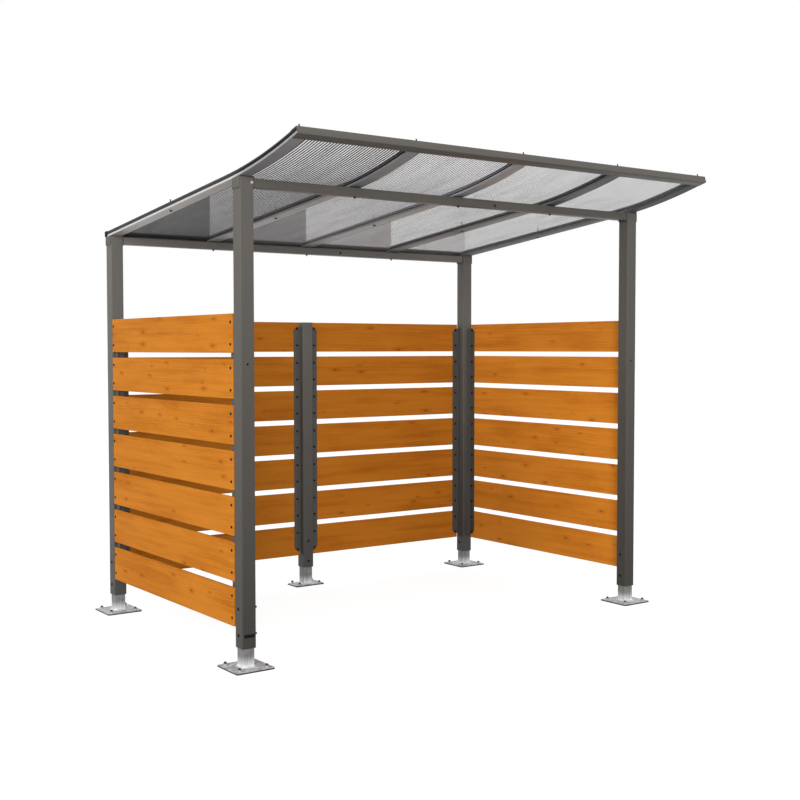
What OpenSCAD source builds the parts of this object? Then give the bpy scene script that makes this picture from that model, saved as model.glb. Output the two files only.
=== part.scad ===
// Open-fronted bike shelter: a steel post frame on bolt-down feet, slatted timber
// cladding on three sides and a clear roof that sweeps up at the front.
// X runs along the front, Y from the front to the back, Z up. Lengths in mm.

/* [Frame] */
// Distance between the left and right posts, centre to centre
post_span_x = 2480; // [1900:10:3200]
// Distance between the front and rear posts, centre to centre
post_span_y = 1490; // [1200:10:2000]
// Side of the square posts
post_size = 70; // [60:1:90]
// Wall of the square posts
post_wall = 5; // [3:0.5:6]
// Height of the top of the front beam above the ground
front_beam_top = 2236; // [2100:1:2700]
// Height of the top of the rear beam above the ground
rear_beam_top = 2083; // [1900:1:2200]
// Height of a beam
beam_h = 40; // [30:1:60]
// Depth of a beam, front to back
beam_d = 60; // [40:1:66]
// Wall of a beam
beam_wall = 3; // [2:0.5:5]
// How far the middle post stands behind the line of the rear posts
mid_post_back = 26; // [20:1:35]

/* [Feet] */
// Side of the foot plates under the corner posts
plate_size = 200; // [160:5:260]
// Depth of the foot plate under the middle post, front to back
mid_plate_d = 120; // [100:5:200]
// Thickness of the foot plates
plate_t = 8; // [5:1:15]
// Corner radius of the foot plates
plate_r = 12; // [4:1:20]
// Distance between the anchor holes of a corner foot
anchor_pitch = 140; // [110:5:150]
// Distance between the anchor holes of the middle foot, front to back
mid_anchor_pitch = 90; // [60:5:95]
// Diameter of the anchor holes
anchor_hole_d = 14; // [10:1:18]
// Height of the lower end of the corner posts
post_foot_z = 95; // [60:5:150]
// Height of the lower end of the middle post
mid_post_foot_z = 113; // [60:1:150]
// Height of the top of the stub inside a post
stub_top_z = 330; // [310:5:400]
// Wall of the stub
stub_wall = 4; // [3:0.5:6]
// Height of the lower bolt through post and stub
foot_bolt_z = 150; // [140:5:180]
// Distance between the two bolts through post and stub
foot_bolt_pitch = 124; // [80:2:140]
// Diameter of the bolt holes in post and stub
foot_bolt_d = 9; // [6:0.5:12]

/* [Cladding] */
// Number of boards in a wall panel
board_count = 7; // [3:1:9]
// Height of a board
board_h = 180; // [120:5:190]
// Gap between two boards
board_gap = 30; // [10:1:40]
// Thickness of a board
board_t = 14; // [10:1:20]
// Height of the lowest board's underside
board_foot_z = 187; // [120:1:220]
// How far a board's outer face stands proud of the posts
board_proud = 2; // [0:0.5:6]
// Gap between a board's end and the post
board_end_gap = 8; // [6:1:20]
// Width of the angle's leg that carries the boards
flange_w = 47.5; // [35:0.5:60]
// Width of the angle's leg on the post
flange_leg = 30; // [20:1:30]
// Thickness of the angles
flange_t = 3; // [2:0.5:5]
// How far an angle stops short of the boards at each end
flange_short = 26; // [0:1:60]

/* [Roof] */
// Width of a rafter
rafter_w = 66; // [50:1:70]
// Height of a rafter
rafter_h = 11; // [8:0.5:25]
// Wall of the rafters and of the cover strips
rafter_wall = 2; // [1:0.5:3]
// Thickness of the roof sheets
sheet_t = 6; // [4:1:16]
// Thickness of the gasket above and below a sheet
gasket_t = 3; // [1:0.5:5]
// Height of the cover strip over a rafter
cover_h = 7; // [5:0.5:12]
// Space between two neighbouring sheets
sheet_joint = 10; // [6:1:16]
// Space between the outer sheet and the rafter's outer side
sheet_side_gap = 9; // [5:1:20]
// Radius of the upward sweep at the rafter's underside
sweep_r = 3350; // [2500:10:6000]
// How far behind the front posts the sweep starts
sweep_start = 105; // [60:5:160]
// How far the roof reaches in front of the front posts
front_overhang = 538; // [300:2:700]
// How far the roof reaches behind the rear posts
rear_overhang = 47; // [40:1:80]
// Depth of the front edge beam, along the roof
edge_beam_d = 50; // [30:1:60]
// Wall of the front edge beam
edge_beam_wall = 1.5; // [1:0.5:3]
// Depth of the rear edge channel, along the roof
edge_channel_d = 32; // [20:1:40]
// Wall of the rear edge channel
edge_channel_wall = 2; // [1.5:0.5:3]
// Height of the rear edge channel's lower side above the rafters' underside
edge_channel_foot = 3; // [0:0.5:8]
// Thickness of the plugs in the ends of the rear edge channel
plug_t = 2; // [1:0.5:4]
// Thickness of the saddles on the corner posts
saddle_t = 3.5; // [2:0.5:5]
// How far a saddle reaches below the beam
saddle_drop = 7; // [0:1:30]

/* [Details] */
// Width of the drain slot in the front left post
slot_w = 54; // [20:2:56]
// Height of the drain slot
slot_h = 11; // [6:1:14]
// How far the drain slot's middle lies above the lower foot bolt
slot_rise = 3; // [0:1:10]
// Diameter of the small hole in the face of the front posts
face_hole_d = 8; // [4:0.5:12]
// Height of the small hole in the face of the front posts
face_hole_z = 1395; // [1000:5:1500]

/* [Hidden] */

$fn = 64;
eps = 1;             // how far a cutter reaches past what it cuts
clear = 100;         // how far the cutter for the roof's space reaches past the roof
fit = 0.2;           // clearance where one piece slides into another
seat = 0.2;          // clearance between pieces that rest on each other

half_x = post_span_x / 2;
half_y = post_span_y / 2;
half_post = post_size / 2;
side_x = half_x + half_post;            // outer face of the side posts

// The roof's underside is a straight slope through the rear top edges of the two beams,
// and an arc about the X axis in front of sweep_y.
seat_front_y = -half_y + beam_d / 2;
seat_rear_y = half_y + beam_d / 2;
slope = atan((front_beam_top - rear_beam_top) / (seat_rear_y - seat_front_y));
sweep_y = -half_y + sweep_start;
rear_end_y = half_y + rear_overhang;
front_end_y = -half_y - front_overhang;
function slope_z(y) = front_beam_top + seat + (seat_front_y - y) * tan(slope);

// Arc: centre above the roof, underside at sweep_r
arc_y = sweep_y + sweep_r * sin(slope);
arc_z = slope_z(sweep_y) + sweep_r * cos(slope);
sweep_angle = asin((arc_y - front_end_y) / sweep_r) - slope;
sweep_len = sweep_r * sweep_angle * PI / 180;
sweep_steps = 16;
straight_len = (rear_end_y - sweep_y) / cos(slope);
roof_len = straight_len + sweep_len;
sweep_stations = [for (i = [0 : sweep_steps]) straight_len + i * sweep_len / sweep_steps];

// Layers of the roof, as heights above the rafter's underside
lower_gasket_h = rafter_h;
sheet_h = rafter_h + gasket_t;
upper_gasket_h = sheet_h + sheet_t;
cover_base_h = upper_gasket_h + gasket_t;
roof_h = cover_base_h + cover_h;

sheet_w = (side_x - sheet_side_gap - 1.5 * sheet_joint) / 2;
inner_rafter_x = sheet_w + sheet_joint;
outer_rafter_x = side_x - rafter_w / 2;
rafter_x = [-outer_rafter_x, -inner_rafter_x, 0, inner_rafter_x, outer_rafter_x];

board_pitch = board_h + board_gap;
board_inner = half_post + board_proud - board_t;    // the boards' inner face, from the posts' centre line
boards_h = board_count * board_pitch - board_gap;
board_top_z = board_foot_z + boards_h;
angle_z = board_foot_z + flange_short;
angle_len = boards_h - 2 * flange_short;
side_board_end = half_y - half_post - board_end_gap;
rear_board_outer_end = half_x - half_post - board_end_gap;
rear_board_inner_end = half_post + board_end_gap;

stub_size = post_size - 2 * post_wall - 2 * fit;
mid_post = [0, half_y + mid_post_back];
saddle_x = half_post + seat + saddle_t;             // half the width over a saddle
beam_len = post_span_x - 2 * saddle_x - 2 * seat;

// Where the roof's pieces begin and end, along the underside from the rear end
rafter_from = edge_channel_d + seat;
cover_from = edge_channel_wall + seat;
front_to = roof_len - edge_beam_wall - seat;

// The shelter's box is centred on the origin, front to back
box_front_y = front_end_y - (seat + edge_beam_wall) * sin(slope + sweep_angle);
box_rear_y = half_y + max(plate_size / 2, mid_post_back + mid_plate_d / 2, rear_overhang);
frame_y = -(box_front_y + box_rear_y) / 2;

umber = [0.37, 0.355, 0.335];
galvanised = [0.72, 0.73, 0.74];
timber = [0.80, 0.49, 0.16];
alloy = [0.66, 0.66, 0.65];
rubber_black = [0.08, 0.08, 0.085];
smoky_clear = [0.75, 0.74, 0.76, 0.5];

module framed() {
    translate([0, frame_y, 0]) children();
}

module box_tube(w, d, h, wall) {
    difference() {
        translate([-w / 2, -d / 2, 0]) cube([w, d, h]);
        translate([-w / 2 + wall, -d / 2 + wall, -eps]) cube([w - 2 * wall, d - 2 * wall, h + 2 * eps]);
    }
}

module rounded_plate(w, d, h, r) {
    linear_extrude(h) {
        square([w - 2 * r, d], center = true);
        square([w, d - 2 * r], center = true);
        for (x = [-1, 1], y = [-1, 1])
            translate([x * (w / 2 - r), y * (d / 2 - r)]) circle(r);
    }
}

// A point of the roof's side view: dist along the underside from the rear end, and up above it
function roof_point(dist, up) =
    dist <= straight_len
    ? [rear_end_y - dist * cos(slope) + up * sin(slope),
       slope_z(rear_end_y) + dist * sin(slope) + up * cos(slope)]
    : let (turn = slope + (dist - straight_len) / sweep_r * 180 / PI)
      [arc_y - (sweep_r - up) * sin(turn), arc_z - (sweep_r - up) * cos(turn)];

// Where the outline of a bar has points: its ends, and the sweep's own stations
function stations(from, to) = concat([from], [for (s = sweep_stations) if (s > from && s < to) s], [to]);

// A bar that follows the roof's line: x0 to x1 across, up0 to up1 above the underside, and
// from one distance to another along it, measured from the rear end
module roof_bar(x0, x1, up0, up1, from, to) {
    forth = stations(from, to);
    back = [for (i = [len(forth) - 1 : -1 : 0]) forth[i]];
    translate([x0, 0, 0]) rotate([90, 0, 90]) linear_extrude(x1 - x0)
        polygon(concat([for (s = forth) roof_point(s, up0)], [for (s = back) roof_point(s, up1)]));
}

// Everything above the roof's underside, less the clearance given
module roof_space(gap) {
    roof_bar(-side_x - clear, side_x + clear, -gap, roof_h + clear, -clear, roof_len - eps);
}

// ---- feet ----

module foot(plate_d, pitch_d, bolts_along_y) {
    color(galvanised) difference() {
        union() {
            rounded_plate(plate_size, plate_d, plate_t, plate_r);
            translate([0, 0, plate_t]) box_tube(stub_size, stub_size, stub_top_z - plate_t, stub_wall);
        }
        for (x = [-1, 1], y = [-1, 1])
            translate([x * anchor_pitch / 2, y * pitch_d / 2, -eps])
                cylinder(d = anchor_hole_d, h = plate_t + 2 * eps);
        foot_bolt_holes(bolts_along_y);
    }
}

module foot_bolt_holes(along_y) {
    for (z = [foot_bolt_z, foot_bolt_z + foot_bolt_pitch])
        translate([0, 0, z]) rotate(along_y ? 90 : 0) rotate([0, 90, 0])
            cylinder(d = foot_bolt_d, h = post_size + 2 * eps, center = true);
}

module corner_foot(x, y) {
    framed() translate([x, y, 0]) foot(plate_size, anchor_pitch, false);
}

module middle_foot() {
    framed() translate(mid_post) foot(mid_plate_d, mid_anchor_pitch, true);
}

// ---- posts ----

module corner_post(x, y, beam_top) {
    difference() {
        translate([x, y, post_foot_z])
            box_tube(post_size, post_size, beam_top + post_size - post_foot_z, post_wall);
        roof_space(saddle_t + 2 * seat);
        translate([x, y, 0]) foot_bolt_holes(false);
    }
}

module front_post(x) {
    difference() {
        corner_post(x, -half_y, front_beam_top);
        translate([x, -half_y - half_post, face_hole_z]) rotate([90, 0, 0])
            cylinder(d = face_hole_d, h = 3 * post_wall, center = true);
    }
}

module drain_slot() {
    translate([0, -half_y - half_post, foot_bolt_z + slot_rise])
        cube([slot_w, 3 * post_wall, slot_h], center = true);
}

module post_front_left() {
    color(umber) framed() difference() {
        front_post(-half_x);
        translate([-half_x, 0, 0]) drain_slot();
    }
}

module post_front_right() {
    color(umber) framed() front_post(half_x);
}

module post_rear_left() {
    color(umber) framed() corner_post(-half_x, half_y, rear_beam_top);
}

module post_rear_right() {
    color(umber) framed() corner_post(half_x, half_y, rear_beam_top);
}

module post_rear_middle() {
    color(umber) framed() translate(mid_post) difference() {
        translate([0, 0, mid_post_foot_z])
            box_tube(post_size, post_size, board_top_z - mid_post_foot_z, post_wall);
        foot_bolt_holes(true);
    }
}

// ---- cladding ----

// Boards one above the other, from x0 to x1, with their inner face on y = 0
module board_stack(x0, x1) {
    color(timber) for (i = [0 : board_count - 1])
        translate([x0, 0, board_foot_z + i * board_pitch]) cube([x1 - x0, board_t, board_h]);
}

// Turns what faces the back, with X from the front to the back, so that it faces the left (-1)
// or the right (1)
module to_side(side) {
    mirror([side < 0 ? 1 : 0, 0, 0]) translate([half_x, 0, 0]) mirror([0, 1, 0]) rotate(-90) children();
}

module side_boards(side) {
    framed() to_side(side) translate([0, board_inner, 0]) board_stack(-side_board_end, side_board_end);
}

module rear_boards(side) {
    framed() mirror([side < 0 ? 1 : 0, 0, 0])
        translate([0, half_y + board_inner, 0]) board_stack(rear_board_inner_end, rear_board_outer_end);
}

// An angle on a post's side: its outer leg carries the boards' ends. The post's face is on
// x = 0, and the boards' inner face on y = 0.
module cladding_angle() {
    chamfer = flange_w / 3;
    color(umber) translate([0, 0, angle_z]) difference() {
        union() {
            translate([seat, -flange_t, 0]) cube([flange_w, flange_t, angle_len]);
            translate([seat, -flange_leg, 0]) cube([flange_t, flange_leg, angle_len]);
        }
        for (z = [0, angle_len])
            translate([flange_w + seat, 0, z]) rotate([90, 0, 0]) rotate(45)
                cube([chamfer, chamfer, 4 * flange_leg], center = true);
    }
}

module rear_angle(x, side) {
    framed() translate([x, half_y + board_inner, 0]) mirror([side < 0 ? 1 : 0, 0, 0])
        translate([half_post, 0, 0]) cladding_angle();
}

module side_angle(side, y, toward) {
    framed() to_side(side) translate([y, board_inner, 0]) mirror([toward < 0 ? 1 : 0, 0, 0])
        translate([half_post, 0, 0]) cladding_angle();
}

// ---- saddles and beams ----

// An inverted U over the post's head, under the rafter
module saddle(x, y, beam_top) {
    color(umber) framed() difference() {
        translate([x - saddle_x, y - half_post, beam_top - beam_h - saddle_drop])
            cube([2 * saddle_x, post_size, beam_h + saddle_drop + post_size]);
        roof_space(seat);
        difference() {
            translate([x - half_post - seat, y - half_post - eps, 0])
                cube([post_size + 2 * seat, post_size + 2 * eps, beam_top + post_size]);
            roof_space(seat + saddle_t);
        }
    }
}

module beam(y, top) {
    color(umber) framed() translate([-beam_len / 2, y, top - beam_h / 2]) rotate([0, 90, 0])
        box_tube(beam_h, beam_d, beam_len, beam_wall);
}

// ---- roof ----

module rafter(i) {
    x0 = rafter_x[i] - rafter_w / 2;
    x1 = rafter_x[i] + rafter_w / 2;
    color(alloy) framed() difference() {
        roof_bar(x0, x1, 0, rafter_h, rafter_from, front_to);
        roof_bar(x0 + rafter_wall, x1 - rafter_wall, rafter_wall, rafter_h - rafter_wall,
                 rafter_from - eps, front_to + eps);
    }
}

// A shallow channel, open towards the rafter
module cover_strip(i) {
    x0 = rafter_x[i] - rafter_w / 2;
    x1 = rafter_x[i] + rafter_w / 2;
    color(umber) framed() difference() {
        roof_bar(x0, x1, cover_base_h, roof_h, cover_from, front_to);
        roof_bar(x0 + rafter_wall, x1 - rafter_wall, cover_base_h - eps, roof_h - rafter_wall,
                 cover_from - eps, front_to + eps);
    }
}

// Left and right edges of a sheet
function sheet_x0(i) = (i - 2) * (sheet_w + sheet_joint) + sheet_joint / 2;
function sheet_x1(i) = sheet_x0(i) + sheet_w;

module roof_sheet(i) {
    color(smoky_clear) framed()
        roof_bar(sheet_x0(i), sheet_x1(i), sheet_h, upper_gasket_h, cover_from, front_to);
}

// Rubber between rafter, sheets and cover: an I round the joint of two sheets, a C at the sides
module gasket(i) {
    x0 = rafter_x[i] - rafter_w / 2;
    x1 = rafter_x[i] + rafter_w / 2;
    difference() {
        roof_bar(x0, x1, lower_gasket_h + seat, cover_base_h - seat, rafter_from, front_to);
        if (i > 0)
            roof_bar(x0 - eps, sheet_x1(i - 1) + seat, sheet_h - seat, upper_gasket_h + seat,
                     rafter_from - eps, front_to + eps);
        if (i < 4)
            roof_bar(sheet_x0(i) - seat, x1 + eps, sheet_h - seat, upper_gasket_h + seat,
                     rafter_from - eps, front_to + eps);
    }
}

module gaskets() {
    color(rubber_black) framed() for (i = [0 : 4]) gasket(i);
}

// A channel over the front ends of the rafters, sheets and covers
module edge_beam_front() {
    w = edge_beam_wall;
    from = roof_len - edge_beam_d;
    color(umber) framed() difference() {
        roof_bar(-side_x, side_x, -seat - w, roof_h + seat + w, from, roof_len);
        roof_bar(-side_x - eps, side_x + eps, -seat, roof_h + seat, from - eps, roof_len - w);
    }
}

// A channel over the rear ends of the sheets and covers, behind the rafters
module edge_channel_rear() {
    w = edge_channel_wall;
    color(umber) framed() difference() {
        roof_bar(-side_x, side_x, edge_channel_foot, roof_h + seat + w, 0, edge_channel_d);
        roof_bar(-side_x - eps, side_x + eps, edge_channel_foot + w, roof_h + seat,
                 w, edge_channel_d + eps);
    }
}

// Black plugs on the open ends of the rear channel
module edge_channel_plugs() {
    x = side_x + seat;
    top = roof_h + seat + edge_channel_wall;
    color(rubber_black) framed() {
        roof_bar(-x - plug_t, -x, edge_channel_foot, top, 0, edge_channel_d);
        roof_bar(x, x + plug_t, edge_channel_foot, top, 0, edge_channel_d);
    }
}

module angles_middle() {
    rear_angle(0, -1);
    rear_angle(0, 1);
}

module foot_front_left() { corner_foot(-half_x, -half_y); }
module foot_front_right() { corner_foot(half_x, -half_y); }
module foot_rear_left() { corner_foot(-half_x, half_y); }
module foot_rear_right() { corner_foot(half_x, half_y); }
module foot_rear_middle() { middle_foot(); }

foot_front_left();
foot_front_right();
foot_rear_left();
foot_rear_middle();
foot_rear_right();
post_front_left();
post_front_right();
post_rear_left();
post_rear_middle();
post_rear_right();
side_boards(-1);  // boards_left
rear_boards(-1);  // boards_rear_left
rear_boards(1);  // boards_rear_right
side_boards(1);  // boards_right
side_angle(-1, -half_y, 1);  // angle_front_left
side_angle(-1, half_y, -1);  // angle_rear_left_side
rear_angle(-half_x, 1);  // angle_rear_left_back
angles_middle();
rear_angle(half_x, -1);  // angle_rear_right_back
side_angle(1, half_y, -1);  // angle_rear_right_side
side_angle(1, -half_y, 1);  // angle_front_right
saddle(-half_x, -half_y, front_beam_top);  // saddle_front_left
saddle(half_x, -half_y, front_beam_top);  // saddle_front_right
saddle(-half_x, half_y, rear_beam_top);  // saddle_rear_left
saddle(half_x, half_y, rear_beam_top);  // saddle_rear_right
beam(-half_y, front_beam_top);  // beam_front
beam(half_y, rear_beam_top);  // beam_rear
rafter(0);  // rafter_1
rafter(1);  // rafter_2
rafter(2);  // rafter_3
rafter(3);  // rafter_4
rafter(4);  // rafter_5
gaskets();
roof_sheet(0);  // roof_sheet_1
roof_sheet(1);  // roof_sheet_2
roof_sheet(2);  // roof_sheet_3
roof_sheet(3);  // roof_sheet_4
cover_strip(0);  // cover_strip_1
cover_strip(1);  // cover_strip_2
cover_strip(2);  // cover_strip_3
cover_strip(3);  // cover_strip_4
cover_strip(4);  // cover_strip_5
edge_beam_front();
edge_channel_rear();
edge_channel_plugs();
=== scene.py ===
import math
import random

import bmesh
import bpy
from mathutils import Euler, Matrix, Vector


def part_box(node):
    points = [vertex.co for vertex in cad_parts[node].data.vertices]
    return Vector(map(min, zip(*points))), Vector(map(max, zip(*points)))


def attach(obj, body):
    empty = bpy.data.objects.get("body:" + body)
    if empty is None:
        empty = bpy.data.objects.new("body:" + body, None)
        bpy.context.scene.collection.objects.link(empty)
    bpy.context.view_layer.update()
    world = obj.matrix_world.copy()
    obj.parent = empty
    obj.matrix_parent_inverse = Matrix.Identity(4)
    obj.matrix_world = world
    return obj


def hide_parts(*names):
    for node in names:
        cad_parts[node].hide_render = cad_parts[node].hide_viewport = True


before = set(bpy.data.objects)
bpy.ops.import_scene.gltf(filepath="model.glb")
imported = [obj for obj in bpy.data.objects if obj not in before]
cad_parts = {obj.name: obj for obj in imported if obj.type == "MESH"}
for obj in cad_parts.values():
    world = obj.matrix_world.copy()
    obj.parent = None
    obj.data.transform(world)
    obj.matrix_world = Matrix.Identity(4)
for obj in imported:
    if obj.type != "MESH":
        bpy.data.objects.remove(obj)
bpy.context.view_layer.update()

MM = 0.001
SHARP_ANGLE = 32        # degrees between two faces from which their edge is drawn sharp

# ---------------------------------------------------------------- places taken from the frame
BOX = {name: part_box(name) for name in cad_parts}


def middle(name, axis):
    low, high = BOX[name]
    return (low[axis] + high[axis]) / 2


def extent(name, axis):
    low, high = BOX[name]
    return high[axis] - low[axis]


POST_SIDE = extent("post_front_left", 0)
HALF_POST = POST_SIDE / 2
LEFT_X = middle("post_front_left", 0)
RIGHT_X = middle("post_front_right", 0)
FRONT_Y = middle("post_front_left", 1)
REAR_Y = middle("post_rear_left", 1)
MID_Y = middle("post_rear_middle", 1)
CORNERS = [(end + "_" + side, x, y) for end, y in (("front", FRONT_Y), ("rear", REAR_Y))
           for side, x in (("left", LEFT_X), ("right", RIGHT_X))]
PLATE_T = 8 * MM
POST_FOOT = BOX["post_front_left"][0][2]
MID_FOOT = BOX["post_rear_middle"][0][2]
MID_TOP = BOX["post_rear_middle"][1][2]
FRONT_BEAM_TOP = BOX["beam_front"][1][2]
REAR_BEAM_TOP = BOX["beam_rear"][1][2]
BEAM_DEPTH = extent("beam_front", 1)
BOARD_FOOT = BOX["boards_left"][0][2]
BOARD_TOP = BOX["boards_left"][1][2]
BOARD_COUNT = 7
BOARD_GAP = 30 * MM
BOARD_PITCH = (BOARD_TOP - BOARD_FOOT + BOARD_GAP) / BOARD_COUNT
BOARD_HIGH = BOARD_PITCH - BOARD_GAP
BOARD_THICK = extent("boards_rear_left", 1)
BOARD_FACE = LEFT_X - BOX["boards_left"][0][0]
INNER = BOARD_FACE - BOARD_THICK        # the boards' inner face, from the posts' centre line
ANGLE_T = 3 * MM
SEAT = 0.2 * MM

# The roof's line: straight from the rear, then an arc about X
SLOPE = math.atan((FRONT_BEAM_TOP - REAR_BEAM_TOP) / (REAR_Y - FRONT_Y))
SWEEP_RADIUS = 3.35
SWEEP_Y = FRONT_Y + 105 * MM
REAR_END = REAR_Y + 47 * MM
FRONT_END = FRONT_Y - 538 * MM


def under_roof(y):
    return FRONT_BEAM_TOP + SEAT + (FRONT_Y + BEAM_DEPTH / 2 - y) * math.tan(SLOPE)


ARC_Y = SWEEP_Y + SWEEP_RADIUS * math.sin(SLOPE)
ARC_Z = under_roof(SWEEP_Y) + SWEEP_RADIUS * math.cos(SLOPE)
SWEEP_TURN = math.asin((ARC_Y - FRONT_END) / SWEEP_RADIUS) - SLOPE
STRAIGHT = (REAR_END - SWEEP_Y) / math.cos(SLOPE)
ROOF_RUN = STRAIGHT + SWEEP_RADIUS * SWEEP_TURN

RAFTER_H = 11 * MM
GASKET_T = 3 * MM
SHEET_T = 6 * MM
SHEET_H = RAFTER_H + GASKET_T
COVER_H = SHEET_H + SHEET_T + GASKET_T
ROOF_H = COVER_H + 7 * MM
RAFTER_X = [middle("rafter_%d" % i, 0) for i in range(1, 6)]
HALF_RAFTER = extent("rafter_1", 0) / 2


def roof_at(run, up):
    """Y and Z of a point of the roof's side view: run along the underside from the rear end, up above it."""
    if run <= STRAIGHT:
        return (REAR_END - run * math.cos(SLOPE) + up * math.sin(SLOPE),
                under_roof(REAR_END) + run * math.sin(SLOPE) + up * math.cos(SLOPE))
    turn = SLOPE + (run - STRAIGHT) / SWEEP_RADIUS
    return (ARC_Y - (SWEEP_RADIUS - up) * math.sin(turn), ARC_Z - (SWEEP_RADIUS - up) * math.cos(turn))


# ---------------------------------------------------------------- mesh helpers
def closed_outline(corners, radius, steps=5):
    """A polygon's outline with its corners rounded; radius is one number or one for each corner."""
    count = len(corners)
    radii = radius if isinstance(radius, list) else [radius] * count
    out = []
    for i, (corner, r) in enumerate(zip(corners, radii)):
        here = Vector(corner)
        back = (Vector(corners[i - 1]) - here).normalized()
        on = (Vector(corners[(i + 1) % count]) - here).normalized()
        half = back.angle(on) / 2
        reach = r / math.tan(half)
        centre = here + (back + on).normalized() * (r / math.sin(half))
        start = here + back * reach - centre
        turn = start.angle_signed(here + on * reach - centre)
        for k in range(steps + 1):
            a = -turn * k / steps
            out.append(centre + Vector((start.x * math.cos(a) - start.y * math.sin(a),
                                        start.x * math.sin(a) + start.y * math.cos(a))))
    return out


def rounded_ring(wide, deep, radius, steps=5):
    w, d = wide / 2, deep / 2
    return closed_outline([(w, -d), (w, d), (-w, d), (-w, -d)], radius, steps)


def circle(radius, z, sides):
    return [Vector((radius * math.cos(2 * math.pi * i / sides), radius * math.sin(2 * math.pi * i / sides), z))
            for i in range(sides)]


def lofted(bm, rings, wrap=False, matrix=None):
    """Joins rings of equal count with quads. wrap joins the last to the first; otherwise both ends get a cap."""
    rows = [[bm.verts.new(p) for p in ring] for ring in rings]
    pairs = list(zip(rows, rows[1:]))
    if wrap:
        pairs.append((rows[-1], rows[0]))
    count = len(rows[0])
    for a, b in pairs:
        for i in range(count):
            j = (i + 1) % count
            bm.faces.new((a[i], a[j], b[j], b[i]))
    if not wrap:
        bm.faces.new(list(reversed(rows[0])))
        bm.faces.new(rows[-1])
    if matrix:
        bmesh.ops.transform(bm, matrix=matrix, verts=[v for row in rows for v in row])


def in_scene(name, data):
    obj = bpy.data.objects.new(name, data)
    bpy.context.scene.collection.objects.link(obj)
    return obj


def settle(obj):
    """Turns an object with modifiers into a plain mesh."""
    bpy.context.view_layer.update()
    graph = bpy.context.evaluated_depsgraph_get()
    mesh = bpy.data.meshes.new_from_object(obj.evaluated_get(graph), preserve_all_data_layers=True, depsgraph=graph)
    obj.modifiers.clear()
    old = obj.data
    obj.data = mesh
    mesh.name = obj.name
    bpy.data.meshes.remove(old)
    return obj


def flat_faces(obj):
    """Keeps large faces flat in the light beside their eased edges."""
    weigh = obj.modifiers.new("flat faces", "WEIGHTED_NORMAL")
    weigh.mode = "FACE_AREA"
    weigh.keep_sharp = True
    return settle(obj)


def smooth_mesh(name, bm, finish):
    mesh = bpy.data.meshes.new(name)
    bm.to_mesh(mesh)
    bm.free()
    if finish:
        mesh.materials.append(finish)
    mesh.polygons.foreach_set("use_smooth", [True] * len(mesh.polygons))
    return mesh


def made(name, bm, finish, sharp=SHARP_ANGLE, weighted=True):
    """A finished object from a bmesh, with normals outwards and large faces kept flat."""
    bmesh.ops.remove_doubles(bm, verts=bm.verts, dist=1e-6)
    bmesh.ops.recalc_face_normals(bm, faces=bm.faces)
    mesh = smooth_mesh(name, bm, finish)
    mesh.set_sharp_from_angle(angle=math.radians(sharp))
    obj = in_scene(name, mesh)
    return flat_faces(obj) if weighted else obj


def placed(obj, slot, *nodes):
    """Every piece rides on the one body and stands for the CAD nodes named; slot is not used."""
    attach(obj, "root")
    if nodes:
        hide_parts(*nodes)


def tube_rings(side, wall, radius, low, high):
    """Rings of a square tube with rounded corners and eased ends, for lofted(wrap=True)."""
    ease = 0.6 * MM
    inner = max(radius - wall, 0.8 * MM)
    hollow = side - 2 * wall
    shapes = [(side - 2 * ease, radius - ease, low), (side, radius, low + ease),
              (side, radius, high - ease), (side - 2 * ease, radius - ease, high),
              (hollow + ease, inner + ease / 2, high), (hollow, inner, high - ease / 2),
              (hollow, inner, low + ease / 2), (hollow + ease, inner + ease / 2, low)]
    return [[Vector((p.x, p.y, z)) for p in rounded_ring(w, w, r)] for w, r, z in shapes]


def cut(obj, cutters):
    """Takes the cutters' meshes out of the object."""
    for c in cutters:
        take = obj.modifiers.new("cut", "BOOLEAN")
        take.operation = "DIFFERENCE"
        take.solver = "EXACT"
        take.object = c
    settle(obj)
    for c in cutters:
        bpy.data.objects.remove(c)
    obj.data.set_sharp_from_angle(angle=math.radians(SHARP_ANGLE))
    return flat_faces(obj)


def cutter_rod(centre, axis, radius, length):
    bm = bmesh.new()
    turn = Vector((0, 0, 1)).rotation_difference(Vector(axis)).to_matrix().to_4x4()
    lofted(bm, [circle(radius, z, 24) for z in (-length / 2, length / 2)], matrix=Matrix.Translation(centre) @ turn)
    return made("cutter", bm, None, weighted=False)


def slot_block(bm, centre, wide, high, corner, from_y, to_y):
    """A block with a slot's outline, from one Y to another past its centre."""
    outline = rounded_ring(wide, high, corner)
    lofted(bm, [[Vector((p.x, y, p.y)) for p in outline] for y in (from_y, to_y)], matrix=Matrix.Translation(centre))


# ---------------------------------------------------------------- material helpers
FLOAT, COLOUR, VECTOR = "NodeSocketFloat", "NodeSocketColor", "NodeSocketVector"


def join(source, target):
    """Links a socket to a node's input, or sets a plain value there."""
    if hasattr(source, "links"):
        target.id_data.links.new(source, target)
    else:
        target.default_value = source


def fill(n, inputs):
    """Links or sets a node's inputs by name; an underscore stands for a space."""
    for key, value in inputs.items():
        join(value, n.inputs[key.replace("_", " ")])
    return n


def node(tree, kind, **inputs):
    return fill(tree.nodes.new(kind), inputs)


def maths(operation, *values, clamp=False):
    n = next(v for v in values if hasattr(v, "links")).id_data.nodes.new("ShaderNodeMath")
    n.operation = operation
    n.use_clamp = clamp
    for value, socket in zip(values, n.inputs):
        join(value, socket)
    return n.outputs[0]


def plus(a, b):
    return maths("ADD", a, b)


def minus(a, b):
    return maths("SUBTRACT", a, b)


def times(a, b):
    return maths("MULTIPLY", a, b)


def ramp(value, low, high, to_low=0.0, to_high=1.0, smooth=True):
    n = node(value.id_data, "ShaderNodeMapRange", Value=value, From_Min=low, From_Max=high, To_Min=to_low,
             To_Max=to_high)
    n.interpolation_type = "SMOOTHSTEP" if smooth else "LINEAR"
    return n.outputs["Result"]


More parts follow.
